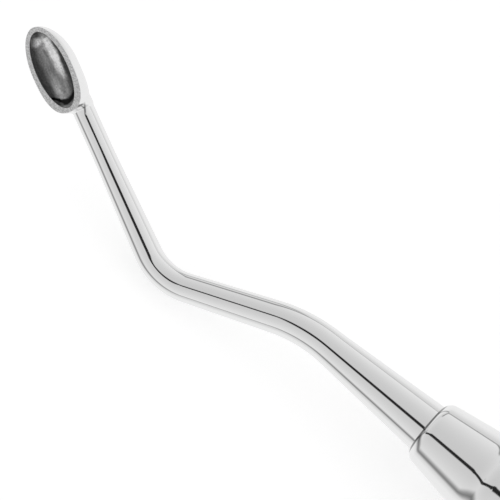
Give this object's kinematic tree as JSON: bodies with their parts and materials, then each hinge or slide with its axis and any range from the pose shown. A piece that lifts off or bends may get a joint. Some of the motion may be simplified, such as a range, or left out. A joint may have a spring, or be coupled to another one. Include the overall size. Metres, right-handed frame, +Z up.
{
  "type": "surgical curette",
  "caption": "Hand curette with an oval, hollow cup and flat ground rim on a tapered, twice bent shank fixed in a plain round handle.",
  "frame": {"origin": "middle of the bounding box, on the surface that the curette lies on", "axes": "+X along the handle towards the cup, +Z up from the surface; the handle's axis is parallel to X at the grip's radius above it"},
  "size_m": [0.1756, 0.0094, 0.011],
  "materials": {
    "polished_handle_steel": "polished stainless steel",
    "polished_steel": "polished stainless steel, cup rim ground flat and matt, cup hollow brushed"
  },
  "bodies": {
    "root": {"handle": "polished_handle_steel", "working_end": "polished_steel"}
  },
  "joints": []
}
